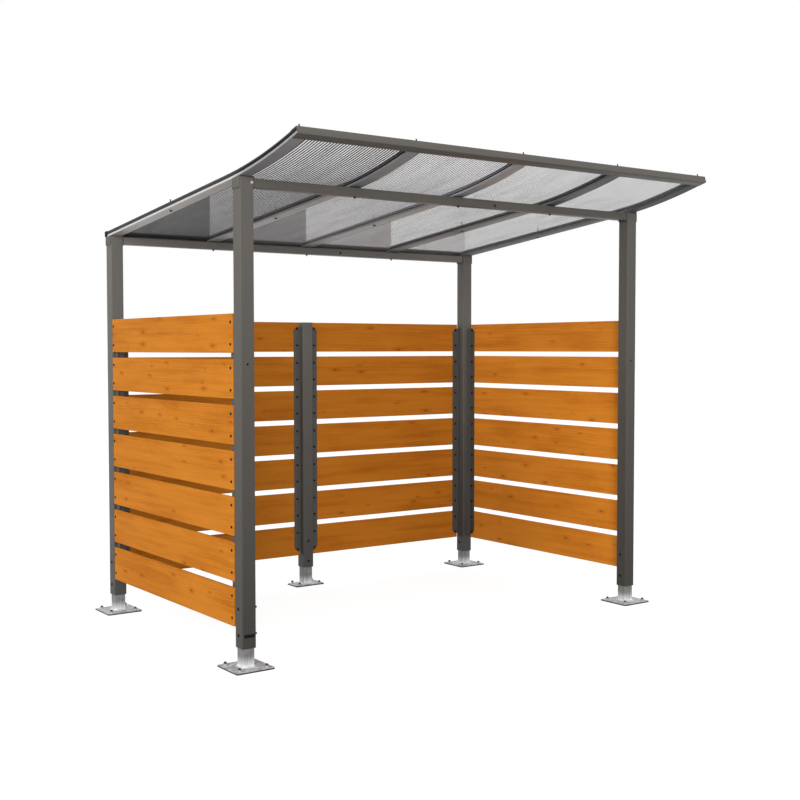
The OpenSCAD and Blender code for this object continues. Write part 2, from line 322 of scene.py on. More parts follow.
def blend(factor, a, b, mode="MIX"):
    n = next(v for v in (factor, a, b) if hasattr(v, "links")).id_data.nodes.new("ShaderNodeMix")
    n.data_type = "RGBA"
    n.blend_type = mode
    for key, value in ((0, factor), (6, a), (7, b)):
        join(value, n.inputs[key])
    return n.outputs[2]


def tinted(a, b):
    return blend(1.0, a, b, "MULTIPLY")


def noise(vector, scale, detail=3.0, rough=0.5):
    return node(vector.id_data, "ShaderNodeTexNoise", Vector=vector, Scale=scale, Detail=detail,
                Roughness=rough).outputs["Fac"]


def vector_maths(operation, *values):
    n = values[0].id_data.nodes.new("ShaderNodeVectorMath")
    n.operation = operation
    for value, socket in zip(values, n.inputs):
        join(value, socket)
    return n.outputs[0]


def stretched(vector, x, y, z):
    return vector_maths("MULTIPLY", vector, (x, y, z))


def parts(value, kind="XYZ"):
    """The three parts of a vector, or of a colour."""
    n = value.id_data.nodes.new("ShaderNodeSeparate" + kind)
    join(value, n.inputs[0])
    return n.outputs


def whole(values, tree, kind="XYZ"):
    """A vector or a colour from its three parts."""
    n = tree.nodes.new("ShaderNodeCombine" + kind)
    for value, socket in zip(values, n.inputs):
        join(value, socket)
    return n.outputs[0]


def grey(value):
    return whole([value] * 3, value.id_data, "Color")


def bump(height, distance, strength):
    return node(height.id_data, "ShaderNodeBump", Strength=strength, Distance=distance,
                Height=height).outputs["Normal"]


def new_group(name, inputs, outputs, kind="ShaderNodeTree"):
    tree = bpy.data.node_groups.new(name, kind)
    for label, kind, value in inputs:
        socket = tree.interface.new_socket(label, in_out="INPUT", socket_type=kind)
        if value is not None:
            socket.default_value = value
    for label, kind in outputs:
        tree.interface.new_socket(label, in_out="OUTPUT", socket_type=kind)
    return tree, tree.nodes.new("NodeGroupInput").outputs, tree.nodes.new("NodeGroupOutput").inputs


def use(group, **inputs):
    n = inputs["Vector"].id_data.nodes.new("ShaderNodeGroup")
    n.node_tree = group
    return fill(n, inputs).outputs


def srgb(*levels):
    def linear(c):
        c /= 255
        return c / 12.92 if c <= 0.04045 else ((c + 0.055) / 1.055) ** 2.4
    r, g, b = levels if len(levels) == 3 else levels * 3
    return (linear(r), linear(g), linear(b), 1.0)


def flat(level):
    """A plain grey as a linear colour."""
    return (level, level, level, 1.0)


# Wear: soft blotches and fine marks that any surface gets outdoors
WEAR, w_in, w_out = new_group(
    "outdoor wear",
    [("Vector", VECTOR, None), ("Blotch Scale", FLOAT, 3.0), ("Mark Scale", FLOAT, 60.0), ("Amount", FLOAT, 0.1)],
    [("Shade", COLOUR), ("Mask", FLOAT)])
w_sum = plus(times(noise(w_in["Vector"], w_in["Blotch Scale"], 4.0, 0.55), 1.3),
             times(noise(w_in["Vector"], w_in["Mark Scale"], 5.0, 0.7), 0.7))
join(grey(plus(times(minus(w_sum, 1.0), w_in["Amount"]), 1.0)), w_out["Shade"])
join(ramp(w_sum, 0.75, 1.25), w_out["Mask"])


def material(name):
    m = bpy.data.materials.new(name)
    m.use_nodes = True
    return m, m.node_tree.nodes["Principled BSDF"], m.node_tree.nodes.new("ShaderNodeTexCoord").outputs["Object"]


def worn(shader, at, colour, blotch, mark, amount):
    """Sets the shader's colour with wear over it, and gives the wear's mask."""
    wear = use(WEAR, Vector=at, Blotch_Scale=blotch, Mark_Scale=mark, Amount=amount)
    join(tinted(colour, wear["Shade"]), shader.inputs["Base Color"])
    return wear["Mask"]


def surface(shader, rough, normal, specular, metal=0.0):
    join(rough, shader.inputs["Roughness"])
    join(normal, shader.inputs["Normal"])
    shader.inputs["Specular IOR Level"].default_value = specular
    shader.inputs["Metallic"].default_value = metal


def painted_steel(name, colour, foot=1.0):
    """Powder coat: an even satin film with a fine orange peel; foot is how much of its tone it keeps at the ground, a
    painted shade that darkens the coat towards the bottom.
    """
    m, shader, at = material(name)
    # painted shade: the coat's tone falls off towards the ground
    height = ramp(parts(at)["Z"], 0.0, 2.3, foot, 1.0, smooth=False)
    mask = worn(shader, at, tinted(colour, grey(height)), 2.3, 90.0, 0.16)
    surface(shader, ramp(mask, 0.0, 1.0, 0.41, 0.53), bump(noise(at, 1400.0, 2.0, 0.6), 0.12 * MM, 0.6), 0.22)
    return m


# Copies of one umber coat. The rear copy and the rear beam's copy are painted lighter, as painted light that makes up
# for the roof's shade.
PAINT = painted_steel("umber powder coat", srgb(104, 100, 94), 0.32)
PAINT_HIGH = painted_steel("umber powder coat on the roof", srgb(98, 94, 89))
PAINT_REAR_LIT = painted_steel("umber powder coat at the rear", srgb(115, 111, 106), 0.36)
PAINT_BEAM_LIT = painted_steel("umber powder coat on the rear beam", srgb(130, 126, 121))
PAINT_ANGLE = painted_steel("umber powder coat on the angles", srgb(90, 86, 81), 0.75)
PAINT_COVER = painted_steel("dark powder coat on the cover strips", srgb(58, 57, 56))


# Galvanised: crystals of zinc, each with its own shade and gloss
ZINC, z_in, z_out = new_group("zinc crystals", [("Vector", VECTOR, None), ("Scale", FLOAT, 70.0)],
                              [("Crystal", FLOAT), ("Edge", FLOAT)])
z_warp = node(ZINC, "ShaderNodeTexNoise", Vector=z_in["Vector"], Scale=40.0, Detail=2.0)
z_at = vector_maths("MULTIPLY_ADD", z_warp.outputs["Color"], (0.012, 0.012, 0.012), z_in["Vector"])
z_cell = node(ZINC, "ShaderNodeTexVoronoi", Vector=z_at, Scale=z_in["Scale"])
join(parts(z_cell.outputs["Color"], "Color")[0], z_out["Crystal"])
join(ramp(z_cell.outputs["Distance"], 0.0, 0.7), z_out["Edge"])


def galvanised(name, dark, light, metal=0.2, rough=0.42, base=None, highlight_low=12 * MM, highlight_top=70 * MM, rim=None,
               runs=0.0, crystals=75.0):
    """Zinc. base is a brighter tone near the ground, a painted highlight; rim is a darker tone on the plate's sides, a
    painted shade; runs is how much it ran.
    """
    m, shader, at = material(name)
    zinc = use(ZINC, Vector=at, Scale=crystals)
    height = parts(at)["Z"]
    tone = blend(zinc["Crystal"], dark, light)
    # painted highlight: a brighter tone near the ground
    if base:
        tone = blend(ramp(height, highlight_low, highlight_top, 1.0, 0.0), tone, base)
    if runs:
        streak = noise(stretched(at, 190.0, 190.0, 3.0), 1.0, 3.0, 0.6)
        tone = blend(times(ramp(streak, 0.42, 0.66), runs), tone, flat(0.09))
    # painted shade: a darker tone on the plate's sides
    if rim:
        tone = blend(ramp(height, PLATE_T - 1.2 * MM, PLATE_T - 0.4 * MM, 1.0, 0.0), tone, rim)
    worn(shader, at, tone, 14.0, 220.0, 0.22)
    relief = plus(noise(at, 500.0, 3.0, 0.6), times(zinc["Edge"], 0.5))
    surface(shader, ramp(zinc["Crystal"], 0.0, 1.0, rough, rough + 0.16), bump(relief, 0.1 * MM, 0.7), 0.3, metal)
    return m


GALV_PLATE = galvanised("galvanised plate", srgb(158, 160, 162), srgb(226, 228, 230), rim=srgb(50, 51, 52),
                        crystals=48.0)
# The stub's bright foot is a painted highlight, and the weld's light tone is partly the zinc's own and partly that
# painted highlight.
GALV_STUB = galvanised("galvanised stub", srgb(118, 119, 118), srgb(140, 141, 140), base=srgb(232, 233, 233),
                       highlight_top=66 * MM, runs=0.36)
GALV_WELD = galvanised("galvanised weld", srgb(206, 207, 208), srgb(236, 237, 238), 0.3, 0.35)
BRIGHT_STEEL = galvanised("bright steel", srgb(150, 151, 152), srgb(196, 197, 198), 0.3, 0.3)
# The anchors are dark above, with a painted highlight as a light band near their foot.
ANCHOR_STEEL = galvanised("anchor steel", srgb(46, 46, 47), srgb(78, 78, 79), 0.3, 0.33, base=srgb(186, 187, 188),
                          highlight_low=PLATE_T + 5 * MM, highlight_top=PLATE_T + 9.5 * MM)


# The part of the roof ahead of the front beam
AHEAD, a_in, a_out = new_group("ahead of the front beam", [("Vector", VECTOR, None)], [("Mask", FLOAT)])
join(ramp(parts(a_in["Vector"])["Y"], FRONT_Y - 90 * MM, FRONT_Y + 60 * MM, 1.0, 0.0), a_out["Mask"])


def alloy(name, painted_tone_behind, painted_tone_ahead, rough):
    """Extruded alloy: die lines along the bar, with one tone behind the front beam and another ahead of it; the tones
    are painted light and shade.
    """
    m, shader, at = material(name)
    lines = noise(stretched(at, 900.0, 2.0, 2.0), 1.0, 3.0, 0.7)
    # painted light and shade: the tone changes at the front beam
    colour = blend(use(AHEAD, Vector=at)["Mask"], painted_tone_behind, painted_tone_ahead)
    worn(shader, at, tinted(colour, blend(ramp(lines, 0.3, 0.7), flat(0.86), flat(1.0))), 4.0, 80.0, 0.2)
    surface(shader, ramp(lines, 0.3, 0.7, rough, rough + 0.14), bump(lines, 0.08 * MM, 0.6), 0.25, 0.1)
    return m


# For each rafter from the left: its tone behind the front beam, its tone ahead of it, and its roughness. The tones are
# painted light and shade, set for how each rafter and its overhang are lit.
ALLOYS = [alloy("extruded alloy %d" % (i + 1), srgb(a), srgb(b, b * 1.03, b * 1.05), rough)
          for i, (a, b, rough) in enumerate(((222, 166, 0.3), (194, 172, 0.3), (190, 192, 0.3),
                                             (152, 118, 0.38), (140, 92, 0.52)))]


def dark_finish(name, colour, blotch, mark, rough, grain, relief):
    m, shader, at = material(name)
    mask = worn(shader, at, colour(at), blotch, mark, 0.5)
    surface(shader, ramp(mask, 0.0, 1.0, *rough), bump(noise(at, grain, 2.0), relief, 0.5), 0.12)
    return m


def rubber(name, tone_behind_beam, tone_at_right_end=None):
    """Black rubber: black ahead of the front beam, with its own tone behind it, and a lighter tone towards the right
    end of the roof when one is given.
    """
    def colour(at):
        tone = blend(use(AHEAD, Vector=at)["Mask"], tone_behind_beam, srgb(17, 17, 18))
        return blend(ramp(parts(at)["X"], 0.95, 1.1), tone, tone_at_right_end) if tone_at_right_end else tone
    return dark_finish(name, colour, 9.0, 300.0, (0.55, 0.72), 700.0, 0.1 * MM)


RUBBER = rubber("black rubber", srgb(17, 17, 18))
GASKET_RUBBER = rubber("gasket rubber", srgb(62, 62, 63), srgb(128, 128, 129))
BLACK_STEEL = dark_finish("blackened fasteners", lambda at: srgb(14, 12, 11), 40.0, 400.0, (0.2, 0.34), 900.0,
                          0.06 * MM)

# Timber: Vector is (along the grain, across the face, through the board), in metres
TIMBER, t_in, t_out = new_group(
    "softwood grain",
    [("Vector", VECTOR, None), ("Board", FLOAT, 0.0)] + [(tone, COLOUR, (1, 1, 1, 1)) for tone in
                                                         ("Light", "Mid", "Dark", "Knot")],
    [("Colour", COLOUR), ("Height", FLOAT), ("Gloss", FLOAT)])
# each board is cut from another place
t_at = vector_maths("ADD", t_in["Vector"], whole([times(t_in["Board"], k) for k in (3.71, 1.37, 7.19)], TIMBER))
# knots: few cells, long along the grain
t_knot = node(TIMBER, "ShaderNodeTexVoronoi", Vector=stretched(t_at, 5.0, 14.0, 0.0), Scale=1.0, Randomness=0.95)
t_knot.voronoi_dimensions = "2D"
t_pick = parts(t_knot.outputs["Color"], "Color")
t_there = ramp(t_pick[0], 0.66, 0.88)
t_near = maths("DIVIDE", t_knot.outputs["Distance"], ramp(t_pick[1], 0.0, 1.0, 0.035, 0.095))
t_core = times(ramp(t_near, 0.2, 1.0, 1.0, 0.0), t_there)
t_halo = times(ramp(t_near, 0.6, 3.6, 1.0, 0.0), t_there)
# growth rings: lines across the face, bent by slow noise and pushed round the knots
t_bend = noise(stretched(t_at, 0.55, 4.5, 5.0), 1.0, 2.0, 0.45)
t_rings = plus(times(parts(t_at)["Y"], 88.0), plus(times(t_bend, 13.0), times(t_halo, 1.3)))
t_line = ramp(maths("ABSOLUTE", minus(maths("FRACT", t_rings), 0.62)), 0.0, 0.36, 1.0, 0.0)
t_fibre = noise(stretched(t_at, 9.0, 420.0, 420.0), 1.0, 4.0, 0.62)
t_fleck = noise(stretched(t_at, 26.0, 140.0, 140.0), 1.0, 2.0, 0.6)
t_streak = noise(stretched(t_at, 1.6, 34.0, 30.0), 1.0, 3.0, 0.55)
t_cloud = noise(stretched(t_at, 2.2, 7.0, 7.0), 1.0, 2.0, 0.5)
t_board = maths("FRACT", times(maths("SINE", times(t_in["Board"], 12.9)), 43.7))
t_tone = times(t_line, 0.20)
for t_part in (times(minus(t_fleck, 0.5), 0.5), times(ramp(t_fibre, 0.3, 0.72), 0.22),
               times(ramp(t_streak, 0.32, 0.72), 0.46), times(ramp(t_cloud, 0.3, 0.75), 0.44),
               times(minus(t_board, 0.5), 0.05)):
    t_tone = plus(t_tone, t_part)
t_all = blend(ramp(t_tone, 0.14, 0.68, smooth=False), t_in["Light"], t_in["Mid"])
for t_much, t_over in ((ramp(t_tone, 0.6, 1.25, smooth=False), "Dark"), (times(t_halo, 0.6), "Dark"),
                       (times(t_core, 0.78), "Knot")):
    t_all = blend(t_much, t_all, t_in[t_over])
join(t_all, t_out["Colour"])
join(minus(plus(times(t_fibre, 0.6), times(t_line, 0.4)), times(t_core, 0.6)), t_out["Height"])
join(plus(times(t_fibre, 0.16), 0.36), t_out["Gloss"])


def timber(name, along, seed, light, mid, dark, knot, painted_light_span=None, oil=0.06):
    """Oiled softwood. along is the axis the boards run in, 0 for X and 1 for Y. A span along the boards may be given:
    before it the wood is painted lighter, as painted light against the shade the left wall casts, and past it a little
    darker.
    """
    m, shader, at = material(name)
    place = parts(at)
    board = maths("FLOOR", maths("DIVIDE", minus(place["Z"], BOARD_FOOT - BOARD_GAP / 2), BOARD_PITCH))
    grain = use(TIMBER, Vector=whole([place[along], place["Z"], place[1 - along]], m.node_tree),
                Board=plus(board, seed), Light=light, Mid=mid, Dark=dark, Knot=knot)
    colour = grain["Colour"]
    # painted light: lighter towards the left corner, against the left wall's shade
    if painted_light_span:
        painted_light = ramp(place[along], *painted_light_span, 1.0, 0.0)
        colour = tinted(colour, blend(painted_light, flat(0.93), flat(1.34)))
    # light that bounces off the wood is made mostly neutral
    bleed = times(node(m.node_tree, "ShaderNodeLightPath").outputs["Is Diffuse Ray"], 0.75)
    join(blend(bleed, colour, (0.26, 0.24, 0.22, 1.0)), shader.inputs["Base Color"])
    surface(shader, grain["Gloss"], bump(grain["Height"], 0.3 * MM, 0.55), oil)
    return m


# Tones of the same boards for each wall as it is lit: the right wall's inner tone is painted lighter and the rear's
# darker, as painted light and shade.
SIDE_WOOD = dict(light=srgb(225, 141, 48), mid=srgb(212, 129, 40), dark=srgb(188, 106, 28), knot=srgb(146, 58, 2),
                 oil=0.012)
INNER_WOOD_PAINTED_LIGHTER = dict(light=srgb(242, 150, 50), mid=srgb(230, 138, 42), dark=srgb(204, 113, 30), knot=srgb(140, 60, 10))
REAR_WOOD_PAINTED_DARKER = dict(light=srgb(202, 122, 36), mid=srgb(192, 112, 29), dark=srgb(168, 91, 19), knot=srgb(112, 48, 8))
WOOD = {"left": timber("oiled boards left", 1, 11.0, **SIDE_WOOD),
        "right": timber("oiled boards right", 1, 47.0, **INNER_WOOD_PAINTED_LIGHTER),
        "rear_left": timber("oiled boards rear left", 0, 73.0, painted_light_span=(-0.85, -0.35), **REAR_WOOD_PAINTED_DARKER),
        "rear_right": timber("oiled boards rear right", 0, 91.0, **REAR_WOOD_PAINTED_DARKER)}


# The part of a sheet painted darker: painted shade standing in for a reflection, behind a line from a point on its left
# rafter
SHADE, s_in, s_out = new_group("sheet shade", [("Vector", VECTOR, None), ("Start X", FLOAT, 0.0),
                                               ("Start Y", FLOAT, 0.0), ("Slope", FLOAT, 1.0)], [("Mask", FLOAT)])
s_at = parts(s_in["Vector"])
s_line = plus(s_in["Start Y"], times(minus(s_at["X"], s_in["Start X"]), s_in["Slope"]))
join(ramp(minus(s_at["Y"], s_line), -10 * MM, 10 * MM), s_out["Mask"])


def clear_sheet(name, line, colours, alphas, rough, facing):
    """Twin-wall sheet. colours and alphas are (plain part, shaded part); facing is how much the angle adds.

    The shaded part is painted shade standing in for a reflection, and shows only on the sheet's underside."""
    m, shader, at = material(name)
    side = node(m.node_tree, "ShaderNodeNewGeometry").outputs
    under = times(maths("LESS_THAN", parts(side["Normal"])["Z"], -0.5), minus(1.0, side["Backfacing"]))
    # painted shade: darker behind the line, on faces seen from below
    shade = times(use(SHADE, Vector=at, Start_X=line[0], Start_Y=line[1], Slope=line[2])["Mask"], under)
    haze = noise(stretched(at, 14.0, 2.0, 2.0), 1.0, 4.0, 0.6)
    worn(shader, at, blend(shade, *colours), 3.0, 40.0, 0.12)
    if alphas[0] < 1.0:
        weight = node(m.node_tree, "ShaderNodeLayerWeight", Blend=0.35)
        cover = plus(ramp(shade, 0.0, 1.0, *alphas, smooth=False),
                     ramp(weight.outputs["Facing"], 0.0, 1.0, 0.0, facing, smooth=False))
        join(maths("ADD", cover, times(minus(haze, 0.5), 0.14), clamp=True), shader.inputs["Alpha"])
    join(plus(ramp(haze, 0.3, 0.7, rough, rough + 0.08), times(shade, 0.6)), shader.inputs["Roughness"])
    shader.inputs["IOR"].default_value = 1.58
    shader.inputs["Specular IOR Level"].default_value = 0.05
    return m


# For each bay from the left: where the shaded part's edge starts and its slope, then the tones and covers of skins
# and webs as (plain, shaded), and the webs' height and thickness
# The tones and covers differ from bay to bay as painted light and shade, lighter towards the right.
BAYS = [((-1.209, -0.133, 1.987), (134, 92), (0.05, 0.36), (92, 92), (1.0, 1.0), 4.5 * MM, 2.0 * MM),
        ((-0.602, -0.020, 1.649), (150, 144), (0.05, 0.38), (160, 160), (0.97, 0.97), 3.35 * MM, 0.9 * MM),
        ((0.033, 0.117, 1.411), (190, 225), (0.05, 0.34), (104, 104), (0.97, 0.97), 1.9 * MM, 0.8 * MM),
        ((0.669, 0.250, 1.242), (200, 240), (0.045, 0.20), (112, 112), (0.95, 0.95), 1.5 * MM, 0.8 * MM)]


def sheet_tones(levels):
    return [srgb(v, v * 0.975, v) for v in levels]


# ---------------------------------------------------------------- posts
POST_WALL = 5 * MM
POST_CORNER = 4.5 * MM
HEAD_SPARE = 40 * MM        # a corner post starts this much too long and is then cut along the roof
HEAD_CUT = 3.9 * MM         # from the rafters' underside down to a post's head
HOLE_Z = 1.395
HOLE_R = 5.2 * MM
SLOT_AT = Vector((LEFT_X + 1 * MM, FRONT_Y - HALF_POST, 0.153))
SLOT_WIDE = 58 * MM
SLOT_HIGH = 16 * MM
SLOT_SHADE_GAP = 0.6 * MM
CUT_DEEP = 7 * MM           # each way from the post's front face, through its wall


def post(name, x, y, foot, top, coat, roofed=True, hole=False, slotted=False):
    bm = bmesh.new()
    lofted(bm, tube_rings(POST_SIDE, POST_WALL, POST_CORNER, foot, top), True, Matrix.Translation((x, y, 0)))
    if roofed:
        bmesh.ops.bisect_plane(bm, geom=bm.verts[:] + bm.edges[:] + bm.faces[:],
                               plane_co=(x, y, under_roof(y) - HEAD_CUT / math.cos(SLOPE)),
                               plane_no=(0, math.sin(SLOPE), math.cos(SLOPE)), clear_outer=True)
        loops = [e for e in bm.edges if e.is_boundary]
        near = HALF_POST - 4 * MM
        inner = [e for e in loops if all(abs(v.co.x - x) < near and abs(v.co.y - y) < near for v in e.verts)]
        bmesh.ops.bridge_loops(bm, edges=inner + [e for e in loops if e not in inner])
    obj = made(name, bm, coat, weighted=not hole)
    if hole:
        cutters = [cutter_rod(Vector((x, y - HALF_POST, HOLE_Z)), (0, 1, 0), HOLE_R, 2 * CUT_DEEP)]
        if slotted:
            block = bmesh.new()
            slot_block(block, SLOT_AT, SLOT_WIDE, SLOT_HIGH, SLOT_HIGH * 0.45, -CUT_DEEP, CUT_DEEP)
            cutters.append(made("cutter", block, None, weighted=False))
        cut(obj, cutters)
    return obj


for name, x, y in CORNERS:
    beam_top, coat = (FRONT_BEAM_TOP, PAINT) if y == FRONT_Y else (REAR_BEAM_TOP, PAINT_REAR_LIT)
    placed(post("tube_" + name, x, y, POST_FOOT, beam_top + HEAD_SPARE, coat, hole=y == FRONT_Y,
                slotted=name == "front_left"), "painted", "post_" + name)
placed(post("tube_rear_middle", 0, MID_Y, MID_FOOT, MID_TOP, PAINT_REAR_LIT, roofed=False), "painted", "post_rear_middle")

# Painted shade: a black rubber piece set into the slot, standing in for the dark inside of it.
bm = bmesh.new()
slot_block(bm, SLOT_AT, SLOT_WIDE - SLOT_SHADE_GAP, SLOT_HIGH - SLOT_SHADE_GAP, 5 * MM, 2.6 * MM, POST_WALL - 0.1 * MM)
placed(made("slot_seal", bm, RUBBER), "rubber_black")

# ---------------------------------------------------------------- feet
STUB = 59.6 * MM
STUB_WALL = 4 * MM
STUB_CORNER = 5 * MM
STUB_TOP = 330 * MM
PLATE_WIDE = 200 * MM
PLATE_CORNER = 12 * MM
PLATE_EASE = 1 * MM
ANCHOR_X = 70 * MM          # from the plate's middle across to an anchor
WELD_LEG = 11 * MM
WELD_STEPS = 176
WELD_RIPPLE = 3.4 * MM      # from one ripple to the next


def anchor_places(x, y, pitch, z):
    return [Vector((x + sx * ANCHOR_X, y + sy * pitch / 2, z)) for sx in (-1, 1) for sy in (-1, 1)]


def ground_plate(name, x, y, deep, pitch):
    bm = bmesh.new()
    rings = [[Vector((p.x, p.y, z))
              for p in rounded_ring(PLATE_WIDE - 2 * inset, deep - 2 * inset, PLATE_CORNER - inset, 8)]
             for inset, z in ((PLATE_EASE, 0.0), (0, PLATE_EASE), (0, PLATE_T - PLATE_EASE), (PLATE_EASE, PLATE_T))]
    lofted(bm, rings, matrix=Matrix.Translation((x, y, 0)))
    plate = made(name, bm, GALV_PLATE, weighted=False)
    return cut(plate, [cutter_rod(place, (0, 0, 1), 7 * MM, 30 * MM)
                       for place in anchor_places(x, y, pitch, PLATE_T / 2)])


def stub(name, x, y):
    bm = bmesh.new()
    rings = tube_rings(STUB, STUB_WALL, STUB_CORNER, PLATE_T - 0.5 * MM, STUB_TOP)
    lofted(bm, rings, True, Matrix.Translation((x, y, 0)))
    return made(name, bm, GALV_STUB)


def weld(bm, x, y, seed):
    """A bead round the stub's base: a concave fillet with the ripples of a run weld."""
    rng = random.Random(seed)
    base = rounded_ring(STUB, STUB, STUB_CORNER)
    corners = list(zip(base, base[1:] + base[:1]))
    length = [0.0]
    for a, b in corners:
        length.append(length[-1] + (b - a).length)

    def at(s):
        s %= length[-1]
        for (a, b), start, end in zip(corners, length, length[1:]):
            if s <= end:
                return a.lerp(b, (s - start) / max(end - start, 1e-9))
        return base[0]

    rows = []
    bulge = 0.80
    phase = rng.random() * 6
    for k in range(WELD_STEPS):
        s = length[-1] * k / WELD_STEPS
        p = at(s)
        ahead = at(s + 0.4 * MM) - at(s - 0.4 * MM)
        out = Vector((ahead.y, -ahead.x)).normalized()
        ripple = 1 + 0.13 * math.sin(s / WELD_RIPPLE * 2 * math.pi + phase) + rng.uniform(-0.05, 0.05)
        leg = WELD_LEG * ripple
        section = []
        for t in (q / 6 for q in range(7)):
            a = t * math.pi / 2
            section.append((leg * (1 - math.sin(a) * bulge - (1 - bulge) * t),
                            leg * (1 - math.cos(a) * bulge - (1 - bulge) * (1 - t))))
        section = [(-1.2 * MM, -1.2 * MM), (section[0][0], -1 * MM)] + section + [(-1 * MM, section[-1][1])]
        rows.append([Vector((p.x + out.x * u, p.y + out.y * u, PLATE_T + v)) for u, v in section])
    lofted(bm, rows, True, Matrix.Translation((x, y, 0)))


# For each foot: its place, its plate's depth and the distance between its anchors from front to rear
FEET = [(name, x, y, 200 * MM, 140 * MM) for name, x, y in CORNERS]
FEET.append(("rear_middle", 0.0, MID_Y, 120 * MM, 90 * MM))
for name, x, y, deep, pitch in FEET:
    placed(ground_plate("ground_plate_" + name, x, y, deep, pitch), "galvanised", "foot_" + name)
    placed(stub("stub_" + name, x, y), "galvanised", "foot_" + name)
bm = bmesh.new()
for i, (name, x, y, deep, pitch) in enumerate(FEET):
    weld(bm, x, y, i)
placed(made("stub_welds", bm, GALV_WELD, sharp=60, weighted=False), "galvanised")

# ---------------------------------------------------------------- cladding angles
ANGLE_LOW = BOX["angle_front_left"][0][2]
ANGLE_HIGH = BOX["angle_front_left"][1][2]
FLANGE = 47.5 * MM
LEG = 30 * MM
CHAMFER = FLANGE / 3 * math.sqrt(2) / 2
SWAP_XY = Matrix(((0, 1, 0, 0), (1, 0, 0, 0), (0, 0, 1, 0), (0, 0, 0, 1)))


def angle_piece(name, place):
    """A folded angle: the post's face is x = 0, and the boards' inner face y = 0."""
    outline = closed_outline([(SEAT, 0), (FLANGE, 0), (FLANGE, -ANGLE_T), (SEAT + ANGLE_T, -ANGLE_T),
                              (SEAT + ANGLE_T, -LEG), (SEAT, -LEG)],
                             [4.5 * MM, 0.7 * MM, 0.7 * MM, 1.6 * MM, 0.7 * MM, 0.7 * MM], 4)
    bm = bmesh.new()
    lofted(bm, [[Vector((p.x, p.y, z)) for p in outline] for z in (ANGLE_LOW, ANGLE_HIGH)])
    for z, way in ((ANGLE_LOW, -1), (ANGLE_HIGH, 1)):
        got = bmesh.ops.bisect_plane(bm, geom=bm.verts[:] + bm.edges[:] + bm.faces[:],
                                     plane_co=(FLANGE + SEAT, 0, z - way * 2 * CHAMFER), plane_no=(1, 0, way),
                                     clear_outer=True)
        bmesh.ops.edgenet_fill(bm, edges=[e for e in got["geom_cut"] if isinstance(e, bmesh.types.BMEdge)])
    bmesh.ops.transform(bm, matrix=place, verts=bm.verts)
    return made(name, bm, PAINT_ANGLE)


def rear_place(x, side):
    return Matrix.Translation((x + side * HALF_POST, REAR_Y + INNER, 0)) @ Matrix.Diagonal((side, 1, 1, 1))


def side_place(wall, y, toward):
    x = LEFT_X - INNER if wall < 0 else RIGHT_X + INNER
    return Matrix.Translation((x, y + toward * HALF_POST, 0)) @ Matrix.Diagonal((wall, toward, 1, 1)) @ SWAP_XY


for name, place in (("front_left", side_place(-1, FRONT_Y, 1)), ("rear_left_side", side_place(-1, REAR_Y, -1)),
                    ("rear_left_back", rear_place(LEFT_X, 1)), ("rear_right_back", rear_place(RIGHT_X, -1)),
                    ("rear_right_side", side_place(1, REAR_Y, -1)), ("front_right", side_place(1, FRONT_Y, 1)),
                    ("middle_left", rear_place(0, -1)), ("middle_right", rear_place(0, 1))):
    cad = "angles_middle" if name.startswith("middle") else "angle_" + name
    placed(angle_piece("folded_angle_" + name, place), "painted", cad)


# ---------------------------------------------------------------- geometry nodes
GEOMETRY, OBJECT, MATERIAL, INTEGER = "NodeSocketGeometry", "NodeSocketObject", "NodeSocketMaterial", "NodeSocketInt"


def geometry_tree(name, inputs):
    return new_group(name, [("Geometry", GEOMETRY, None)] + inputs, [("Geometry", GEOMETRY)], "GeometryNodeTree")


def coated(copies, finish, leave):
    """Makes the copies real, gives them their material and sends them out of the tree."""
    tree = copies.id_data
    real = node(tree, "GeometryNodeRealizeInstances", Geometry=copies.outputs[0])
    join(node(tree, "GeometryNodeSetMaterial", Geometry=real.outputs[0], Material=finish).outputs[0], leave)


def run_tree(obj, tree, **values):
    """Puts the tree on an object with its inputs set, and turns the result into a plain mesh."""
    mod = obj.modifiers.new(tree.name, "NODES")
    mod.node_group = tree
    for item in tree.interface.items_tree:
        if item.item_type == "SOCKET" and item.in_out == "INPUT" and item.name in values:
            mod[item.identifier] = values[item.name]
    return settle(obj)


# Rows: the same thing, Count times, Step apart
ROW, r_in, r_out = geometry_tree("row of boards", [("Count", INTEGER, 7), ("Step", VECTOR, (0, 0, 0.21)),
                                                   ("Finish", MATERIAL, None)])
r_line = node(ROW, "GeometryNodeMeshLine", Count=r_in["Count"], Offset=r_in["Step"])
r_line.mode = "OFFSET"
coated(node(ROW, "GeometryNodeInstanceOnPoints", Points=r_line.outputs[0], Instance=r_in["Geometry"]),
       r_in["Finish"], r_out[0])

# Fasteners: one head on each point, turned so that its Z lies along the point's axis
FIX, f_in, f_out = geometry_tree("fasteners on points", [("Fastener", OBJECT, None), ("Finish", MATERIAL, None),
                                                         ("Seed", INTEGER, 1)])
f_axis = node(FIX, "GeometryNodeInputNamedAttribute", Name="axis")
f_axis.data_type = "FLOAT_VECTOR"
f_align = node(FIX, "FunctionNodeAlignRotationToVector", Vector=f_axis.outputs["Attribute"])
f_align.axis = "Z"
f_any = node(FIX, "FunctionNodeRandomValue", Seed=f_in["Seed"])
f_any.data_type = "FLOAT"
f_any.inputs[2].default_value = 0.0
f_any.inputs[3].default_value = 2 * math.pi
f_spin = node(FIX, "FunctionNodeAxisAngleToRotation", Axis=(0, 0, 1), Angle=f_any.outputs[1])
f_turn = FIX.nodes.new("FunctionNodeRotateRotation")
f_turn.rotation_space = "LOCAL"
join(f_align.outputs[0], f_turn.inputs[0])
join(f_spin.outputs[0], f_turn.inputs[1])
f_head = node(FIX, "GeometryNodeObjectInfo", Object=f_in["Fastener"])
